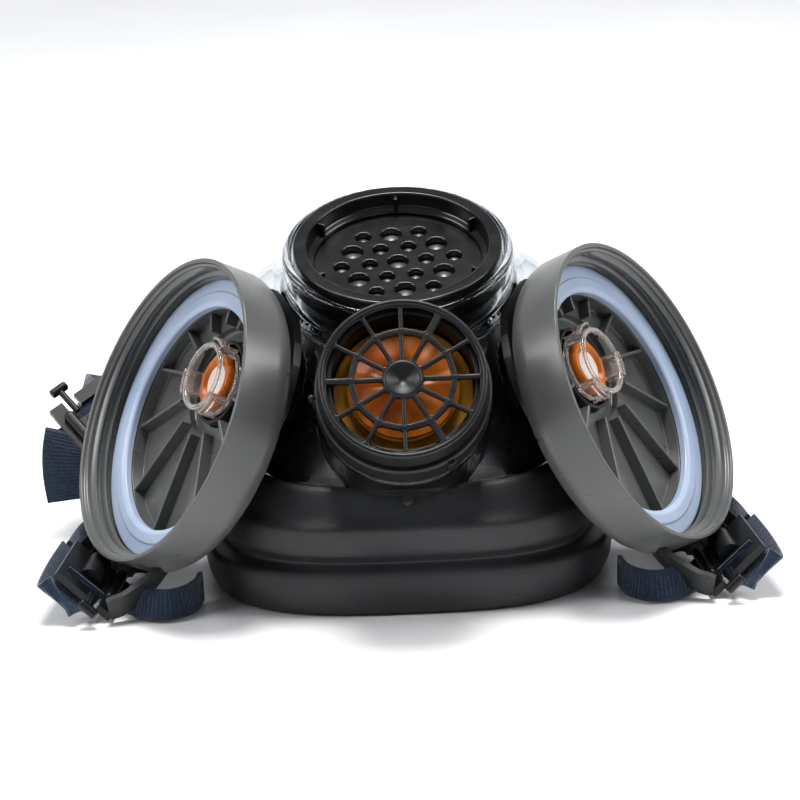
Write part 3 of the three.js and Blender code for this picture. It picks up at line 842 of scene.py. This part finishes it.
def exhalation_cover():
    web = plate([circle(22.4, 144), circle(4.7, 64), *web_holes()], -2.7, -0.9, 0.5, 4)
    rim = lathe(
        [(21.5, -8), (23.2, -8), (23.2, -0.5, 0.5), (22.7, 0, 0.4), (21.9, -0.1, 0.4),
         (21.3, -0.9, 0.4), (21.3, -3)], 0.3, 192)
    hub = lathe(
        [(0, -2.6), (5.2, -2.6), (5.9, -1.5, 0.5), (5.2, -0.6, 0.6), (4.6, -0.4, 0.3),
         (4.2, -0.7, 0.3), (1.0, -2.2, 1.0), (0, -2.35)], 0.4, 96)
    knots = []
    for i in range(SPOKES):
        angle = i * 2 * math.pi / SPOKES
        knot = lathe([(0, -2.6), (1.4, -2.6, 0.3), (1.3, -1.1, 0.5), (0, -0.75)], 0.5, 24)
        knot.data.transform(
            Matrix.Translation((14.1 * math.cos(angle), 14.1 * math.sin(angle), 0)))
        knots.append(knot)
    return combined([web, rim, hub, *knots])


def exhalation_housing():
    body = lathe(
        [(20, -24), (21.1, -24), (21.1, -18.2), (24, -18, 0.8), (24.6, -16.4, 0.6),
         (24.6, -9.2, 0.5), (24.1, -8.5, 0.3), (21.2, -8.4), (21.2, -3), (19.8, -3),
         (19.8, -14), (17, -14), (17, -16), (20, -16)], 0.3, 192)
    bayonet = []
    for degrees, wide, low, high in ((-60, 1.3, -15, -9.2), (61, 1.0, -12.4, -8.8)):
        nub = block((23.6, 25.7), (-wide, wide), (low, high), math.radians(degrees))
        bayonet.append(bevelled(nub, 0.45, 3))
    stud = bevelled(rod(0.8, -1.5, 1.5, 32), 0.3, 2, 40)
    stud.data.transform(
        Matrix.Rotation(math.radians(184), 4, "Z") @ Matrix.Translation((25.4, 0, -9.6)))
    keel = block((24.2, 25.3), (-0.4, 0.4), (-14, -9), math.radians(186))
    return combined([body, *bayonet, stud, bevelled(keel, 0.3, 2)])


FLAP_R = 14.8
FLAP_LOW = -8.2
PLEATS = 9


def valve_disc():
    """A soft flap, pleated in soft sectors from a centre button."""
    rings, segments = 40, 216
    loops = []
    for level in (0, 1):
        order = range(rings, 0, -1) if level == 0 else range(1, rings + 1)
        for j in order:
            r = FLAP_R * j / rings
            loop = []
            for i in range(segments):
                a = 2 * math.pi * i / segments
                fold = abs(((a * PLEATS / (2 * math.pi)) % 1) * 2 - 1)
                z = FLAP_LOW
                if level:
                    cone = 1.3 * (1 - r / FLAP_R)
                    button = 1.0 / (1 + math.exp((r - 2.8) * 3))
                    pleat = 0.75 * fold * min(r / 8, 1) * (1 - r / 40)
                    z = FLAP_LOW + 0.5 + cone + button + pleat
                loop.append((r * math.cos(a), r * math.sin(a), z))
            loops.append(loop)
    return lofted(loops, True)


install(exhalation_cover(), "exhalation_grid", VALVE, "black_plastic", "exhalation_cover",
        ["exhalation_cover"])
install(exhalation_housing(), "exhalation_barrel", VALVE, "black_plastic", "root",
        ["exhalation_housing"])
install(valve_disc(), "exhalation_flap", VALVE, "orange_silicone", "exhalation_disc",
        ["exhalation_valve_disc"])


def valve_seat():
    seat = lathe(
        [(13, -13.6), (19.4, -13.6), (19.4, -11.6, 0.4), (18.2, -11.6, 0.4), (17.9, -12, 0.3),
         (16.4, -11.8, 0.5), (15.6, -10.4, 0.4), (15.6, -8.7, 0.4), (14.9, -8.55, 0.3),
         (13.4, -8.7, 0.3)], 0.3, 144)
    bars = [bevelled(block((0, 14.2), (-1.1, 1.1), (-13.5, -12.3), math.radians(90 * i)), 0.3)
            for i in range(4)]
    return combined([seat, *bars])


install(valve_seat(), "exhalation_seat", VALVE, "amber_plastic", "root",
        ["exhalation_valve_seat"])

# ---------------------------------------------------------------- filter receivers


def thread():
    """An internal screw ridge with tapered ends."""
    turns, pitch, per_turn = 2.1, 3.3, 110
    count = int(turns * per_turn)
    loops = []
    for i in range(count + 1):
        angle = 2 * math.pi * i / per_turn + 0.9
        z = -9.7 + pitch * i / per_turn
        near = min(i, count - i) / (per_turn * 0.06)
        tall = 1.35 * min(near, 1)
        section = [(CUP_INSIDE_R + 0.5, -1.2), (CUP_INSIDE_R + 0.5, 1.2),
                   (CUP_INSIDE_R - 0.02, 1.15), (CUP_INSIDE_R - tall * 0.72, 0.55),
                   (CUP_INSIDE_R - tall, 0.15), (CUP_INSIDE_R - tall, -0.15),
                   (CUP_INSIDE_R - tall * 0.72, -0.55), (CUP_INSIDE_R - 0.02, -1.15)]
        loops.append([(r * math.cos(angle), r * math.sin(angle), z + dz) for r, dz in section])
    return lofted(loops)


def rib_reach(angle):
    """How far a ray from the port's middle runs to the floor's edge."""
    dx, dy = math.cos(angle), math.sin(angle)
    along = PORT_UP * dy
    return -along + math.sqrt(along**2 - PORT_UP**2 + (LEDGE_R + 0.6) ** 2)


def receiver():
    wall = lathe(
        [(0, -19), (38, -19, 1.0), (43.6, -17, 2.0), (46, -13, 2.0), (46, 0, 0.35),
         (44.7, 0, 0.3), (44.5, -1.0, 0.3), (43.8, -1.5, 0.4), (43.8, LEDGE, 0.5),
         (LEDGE_R, LEDGE, 0.35), (LEDGE_R, FLOOR, 0.5), (0, FLOOR)], 0.3, 192, 4)
    recess = bevelled(rod(RECESS_R, -18, 0, 96, 0, PORT_UP), 1.2, 4)
    port = rod(13.2, -20, 0, 96, 0, PORT_UP)
    boolean(wall, [recess, port])
    pieces = [wall, thread()]
    for i in range(RIBS):
        angle = math.pi / 2 + 2 * math.pi * (i + 0.5) / RIBS
        rib = bevelled(block((RECESS_R, rib_reach(angle)), (-0.5, 0.5), (-17.4, -12.1)), 0.34, 3)
        rib.data.transform(
            Matrix.Translation((0, PORT_UP, 0)) @ Matrix.Rotation(angle, 4, "Z"))
        pieces.append(rib)
    return combined(pieces)


def inlet_duct():
    drum = lathe(
        [(13.5, -20.4), (26, -20.4, 0.6), (26, -23.6, 0.6), (17.5, -23.6), (17.5, -33, 0.5),
         (13.5, -33)], 0.3)
    neck = lathe(
        [(11.6, -22), (14.5, -22), (14.5, -19.35), (12.8, -19.35), (12.8, -15.2, 0.4),
         (11.6, -15.2, 0.4)], 0.3, 96)
    made = combined([drum, neck])
    made.data.transform(Matrix.Translation((0, PORT_UP, 0)))
    return made


def sector(inner, outer, low, high, middle, sweep):
    """A curved wall about Z."""
    steps = 10
    loops = []
    for angle in np.linspace(middle - sweep / 2, middle + sweep / 2, steps + 1):
        c, d = math.cos(angle), math.sin(angle)
        loops.append([(r * c, r * d, z) for r, z in
                      ((inner, low), (outer, low), (outer, high), (inner, high))])
    return lofted(loops)


def cage():
    """A clear guard over the inlet valve: a ring on three legs."""
    pieces = [lathe([(8.7, -9.9, 0.3), (10.2, -9.9, 0.3), (10.4, -9.3, 0.3), (10.2, -8.8, 0.3),
                     (9.1, -8.7, 0.4), (8.7, -9.2, 0.3)], 0.3, 96),
              lathe([(8.8, -16), (10.4, -16), (10.4, -14.9, 0.3), (8.8, -14.9, 0.3)], 0.3, 96)]
    for degrees in (100, 220, 340):
        middle = math.radians(degrees)
        pieces.append(bevelled(sector(9.1, 10.2, -15.2, -9.4, middle, 0.75), 0.25, 2))
        for offset in (-0.3, 0.3):
            post = block((10.0, 12.2), (-0.5, 0.5), (-14.6, -9.0), middle + offset)
            pieces.append(bevelled(post, 0.3, 2))
        pieces.append(bevelled(sector(11.3, 12.2, -10.6, -9.0, middle, 0.6), 0.25, 2))
    made = combined(pieces)
    made.data.transform(Matrix.Translation((0, PORT_UP, 0)))
    return made


def inhalation_disc():
    made = lathe(
        [(0, -15.8), (8.2, -15.8, 0.3), (8.2, -14.2, 0.4), (7.6, -13.2, 0.4), (6.4, -13.1, 0.4),
         (5.7, -14.2, 0.4), (5.2, -14.8, 0.3), (0, -14.8)], 0.3, 96)
    made.data.transform(Matrix.Translation((0, PORT_UP, 0)))
    return made


def inhalation_core():
    made = lathe(
        [(0, -14.78), (4.9, -14.78, 0.2), (4.9, -14.0, 0.3), (2.2, -13.6, 0.6), (0, -13.5)], 0.3, 72)
    made.data.transform(Matrix.Translation((0, PORT_UP, 0)))
    return made


def filter_seal():
    return lathe(
        [(34.0, -11.25), (43.3, -11.25, 0.3), (43.3, -9.6, 0.5), (42.4, -9.0, 0.5),
         (38.6, -8.75, 0.4), (38.3, -8.45, 0.3), (35.2, -8.4, 0.6), (34.0, -9.3, 0.4)], 0.3, 192)


install_pair(receiver(), "receiver_moulded", CUP, "grey_plastic", "root",
             ["receiver"])
install_pair(filter_seal(), "filter_seal", CUP, "pale_silicone", "root",
             ["filter_gasket"])
install_pair(inlet_duct(), "inlet_duct_moulded", CUP, "black_plastic", "root",
             ["inlet_duct"])
install_pair(cage(), "valve_cage_clear", CUP, "clear_cage", "root",
             ["inhalation_cage"])
install_pair(inhalation_disc(), "inhalation_flap", CUP, "orange_silicone", "inhalation_disc",
             ["inhalation_disc"])
install_pair(inhalation_core(), "inhalation_flap_core", CUP, "cream_plastic", "inhalation_disc")

# ---------------------------------------------------------------- buckles and yokes


def bar(radius, start, end, segments=48):
    """A rod between two points."""
    a, b = Vector(start), Vector(end)
    made = rod(radius, 0, (b - a).length, segments)
    turned = (b - a).to_track_quat("Z", "Y").to_matrix().to_4x4()
    made.data.transform(Matrix.Translation(a) @ turned)
    return made


def buckle():
    base = block((-10, 10.4), (11, 35.6), (-1.2, 1))
    neck = block((-4.5, 4.5), (2.2, 12), (-1.6, 1.6))
    eye = bar(3, (-4.5, 0, 0), (4.5, 0, 0))
    barrel = bar(3.6, (-0.6, 12, 0.4), (-0.6, 26, 0.4))
    boolean(barrel, [block((-20, 20), (-5, 50), (-20, -1.2))])
    rib = bevelled(block((5.2, 8.4), (11, 31), (-0.8, 3.6)), 1.1, 4)
    post = bar(1.05, (3.2, 30.5, 0), (3.2, 40, 0), 32)
    head = bevelled(bar(1.5, (0.2, 40.2, 0), (6.2, 40.2, 0), 48), 0.7, 4)
    boolean(base, [neck, eye, barrel, rib], "UNION")
    slot = block((-8.2, 5.2), (27.4, 31.6), (-5, 8))
    gap = block((0.9, 5.5), (30, 36), (-5, 8))
    boolean(base, [slot, gap, bar(1.85, (-8, 0, 0), (8, 0, 0), 32)])
    boolean(base, [post, head], "UNION")
    return bevelled(base, 0.4, 3, 35)


def pin():
    return bevelled(bar(1.5, (-7.8, 0, 0), (7.8, 0, 0), 32), 0.3, 2, 40)


LOWER_LOOP = [
    (-1.5, 28.7, 1.4), (-1.5, 29.6, -1.2), (-2.4, 31.5, -3.2), (-3.8, 34.6, -3.6),
    (-4.8, 36.8, -4.4), (-5.2, 36.2, -5.7), (-5.8, 32, -6), (-6.4, 20, -5.6), (-6.4, 6.5, -4.8),
]
UPPER_LOOP = [(-1.5, 28.7, 1.4), (-1.5, 29.6, -1.2), (-1.2, 31.6, -3.4), (-1, 33.5, -5.4)]

for side, turn in SIDES:
    swung = SWUNG if side == "right" else Matrix.Identity(4)
    for level, matrix, loop in (("lower", LOWER, LOWER_LOOP), ("upper", UPPER @ swung, UPPER_LOOP)):
        body = f"{side}_{level}_buckle"
        install(buckle(), f"{body}_moulded", turn @ matrix, "black_plastic", body,
                [body])
        install(pin(), f"{side}_{level}_pin", turn @ matrix, "steel", "root",
                [f"{side}_{level}_pivot_pin"])
        install(webbing([(p, (1, 0, 0)) for p in loop], LOOP_W), f"{side}_{level}_webbing_loop",
                turn @ matrix, "navy_webbing", body, [f"{side}_{level}_strap_loop"])


def yoke_band():
    """The yoke's soft lower arm: a curved strip with a raised lip along both edges."""
    route = [((64, -30, 20), (0.5, -0.5, -0.7)), ((70, -37.5, 14), (0.6, -0.35, -0.7)),
             ((76, -42.3, 9.2), (0.66, -0.2, -0.72)), ((82, -45.4, 5.8), (0.72, -0.1, -0.68)),
             ((86.4, -46.6, 4.6), (0.8, 0, -0.6))]
    centres, across, through = strip_frames(route, 1.0)
    half_widths = np.linspace(5.6, 3.4, len(centres))
    section = [(-1, -0.7), (1, -0.7), (1, 1.1), (0.86, 1.3), (0.72, 1.1), (0.66, 0.3), (0.3, 0.3),
               (0.22, 0.8), (0.1, 0.9), (0, 0.3), (-0.66, 0.3), (-0.72, 1.1), (-0.86, 1.3), (-1, 1.1)]
    loops = [[c + a * u * half + t * v for u, v in section]
             for c, a, t, half in zip(centres, across, through, half_widths)]
    return bevelled(lofted(loops), 0.2, 2, 40)


install_pair(yoke_band(), "yoke_band_moulded", MASK, "black_rubber", "root")

# ---------------------------------------------------------------- straps

LOWER_ACROSS = (-0.727, -0.054, -0.684)
UPPER_ACROSS = (0.77, -0.47, -0.43)
Z = (0, 0, 1)  # across, where a strap stands on its edge
NECK_ROUTE = [
    ((96.2, -14, 9.8), LOWER_ACROSS), ((94, 4.5, 9.6), LOWER_ACROSS),
    ((88, 18, 9.6), Z), ((80, 38, 10), Z), ((70, 60, 10), Z), ((54, 79, 10), Z),
    ((34, 90, 10), Z), ((13, 94, 10), Z),
]
NECK_TAIL_ROUTE = [
    ((81, -40, 5.4), (0.1, 0.4, 0.92)), ((76, -44, 5.1), (0.1, 0.35, 0.94)),
    ((70, -45.4, 4.9), (0, 0.35, 0.94)), ((65, -42.6, 4.8), (0, 0.3, 0.95)),
    ((62, -37, 4.8), (0, 0.2, 0.98)), ((61, -30, 4.8), (0, 0.1, 1)),
]
HEAD_ROUTES = {
    "left": [
        ((100.6, 44.4, 38.2), UPPER_ACROSS), ((104, 53, 37.5), (0.5, -0.35, -0.78)),
        ((103, 66, 34.5), (0.15, -0.1, -1)), ((93, 84, 27), Z), ((74, 99, 20), Z),
        ((46, 108, 18), Z), ((20, 112, 18), Z),
    ],
    "right": [
        ((88.6, 54.6, 7.4), UPPER_ACROSS), ((89.4, 62, 8.6), (0.7, -0.4, -0.6)),
        ((87, 80, 13.5), (0.1, 0, -1)), ((74, 99, 18), Z), ((46, 108, 18), Z), ((20, 112, 18), Z),
    ],
}
HEAD_TAIL_ROUTES = {
    "left": [
        ((103.2, 38.4, 33), (0.87, 0, 0.48)), ((104.6, 40, 27), (0.87, 0, 0.48)),
        ((105, 40.5, 19.5), (0.87, 0, 0.48)), ((104.2, 40.5, 11.5), (0.8, 0, 0.6)),
    ],
    "right": [
        ((93.2, 54.8, 18.6), UPPER_ACROSS), ((96, 63, 21), (0.7, -0.4, -0.6)),
        ((96.6, 71, 22.5), (0.45, -0.25, -0.86)), ((95, 79, 22.5), (0.3, -0.2, -0.93)),
    ],
}


def same_way(stations):
    """Turns each direction across to agree with the one before."""
    made = [stations[0]]
    for centre, across in stations[1:]:
        if Vector(across).dot(Vector(made[-1][1])) < 0:
            across = tuple(-v for v in across)
        made.append((centre, across))
    return made


# the last number is the station whose centre is passed to install() as the end of the strap's bend
for side, turn in SIDES:
    for name, level, route, width, bent in (
        ("neck_strap", "lower", NECK_ROUTE, 14, 3),
        ("neck_strap_tail", "lower", NECK_TAIL_ROUTE, 9, 3),
        ("head_strap", "upper", HEAD_ROUTES[side], 22, 2),
        ("head_strap_tail", "upper", HEAD_TAIL_ROUTES[side], 20, 3),
    ):
        start, end = (turn @ MASK @ Vector(route[i][0]) for i in (0, bent))
        install(webbing(same_way(route), width), f"{side}_{name}_webbing", turn @ MASK,
                "navy_webbing", "root", [f"{side}_{name}"],
                bend=(f"{side}_{level}_buckle", start, end))

# ---------------------------------------------------------------- frame pieces kept

for node in ("left_harness_yoke", "right_harness_yoke", "neck_clasp_socket",
             "neck_clasp_tongue", "head_cradle"):
    kept = frame["nodes"][node]
    kept.data.materials.clear()
    kept.data.materials.append(LOOKS["black_plastic"])
    soften = kept.modifiers.new("round", "BEVEL")
    soften.width = 0.4 * MM
    soften.segments = 2
    soften.limit_method = "ANGLE"
    soften.angle_limit = math.radians(35)

# ---------------------------------------------------------------- floor, light and camera

VIEW_TARGET = MASK @ Vector((-1, 0, 50.5))
VIEW_DISTANCE = 0.75
VIEW_ELEVATION = math.radians(15)
VIEW_ROLL = math.radians(2.26)
LENS = 113.2


STAGE_HALF = 4.0
FLOOR_DROP = 0.0002
BACKDROP_Y = 2.6
BACKDROP_TOP = 2.1


def screen(name, low, high, look):
    """A flat sheet of the stage between two corners on opposite sides."""
    (x, y, z), (x2, y2, z2) = low, high
    made = mesh_object([(x, y, z), (x2, y, z), (x2, y2, z2), (x, y2, z2)], [(0, 1, 2, 3)])
    made.name = name
    made.data.materials.append(LOOKS[look])
    return made


def stage():
    floor = screen("floor", (-STAGE_HALF, -STAGE_HALF, 0), (STAGE_HALF, STAGE_HALF, 0), "pale_floor")
    floor.location.z = -FLOOR_DROP
    screen("backdrop", (-STAGE_HALF, BACKDROP_Y, 0), (STAGE_HALF, BACKDROP_Y, BACKDROP_TOP),
           "bright_backdrop")
    for place, aim, size, power in (
        ((0, 0.02, 1.5), (0, 0, 0), 0.6, 30),
        ((-1.2, -0.35, 0.9), (0, 0, 0.05), 0.7, 13),
        ((1.2, -0.25, 0.9), (0, 0, 0.05), 0.7, 13),
    ):
        light = bpy.data.lights.new("softbox", "AREA")
        light.energy = power
        light.size = size
        holder = bpy.data.objects.new("softbox", light)
        holder.location = place
        holder.rotation_euler = (Vector(aim) - Vector(place)).to_track_quat("-Z", "Y").to_euler()
        bpy.context.scene.collection.objects.link(holder)
    world = bpy.data.worlds.new("studio")
    world.use_nodes = True
    background = world.node_tree.nodes["Background"]
    background.inputs["Color"].default_value = (0.9, 0.93, 1, 1)
    background.inputs["Strength"].default_value = 0.2
    bpy.context.scene.world = world
    bpy.context.scene.view_settings.view_transform = "Standard"


def camera():
    back = Vector((0, -math.cos(VIEW_ELEVATION), math.sin(VIEW_ELEVATION)))
    right = Vector((1, 0, 0))
    up = back.cross(right)
    c, s = math.cos(VIEW_ROLL), math.sin(VIEW_ROLL)
    rolled_right = right * c - up * s
    rolled_up = right * s + up * c
    data = bpy.data.cameras.new("camera")
    data.lens = LENS
    holder = bpy.data.objects.new("camera", data)
    turned = Matrix((rolled_right, rolled_up, back)).transposed().to_4x4()
    holder.matrix_world = Matrix.Translation(VIEW_TARGET + back * VIEW_DISTANCE) @ turned
    bpy.context.scene.collection.objects.link(holder)
    bpy.context.scene.camera = holder


stage()
camera()
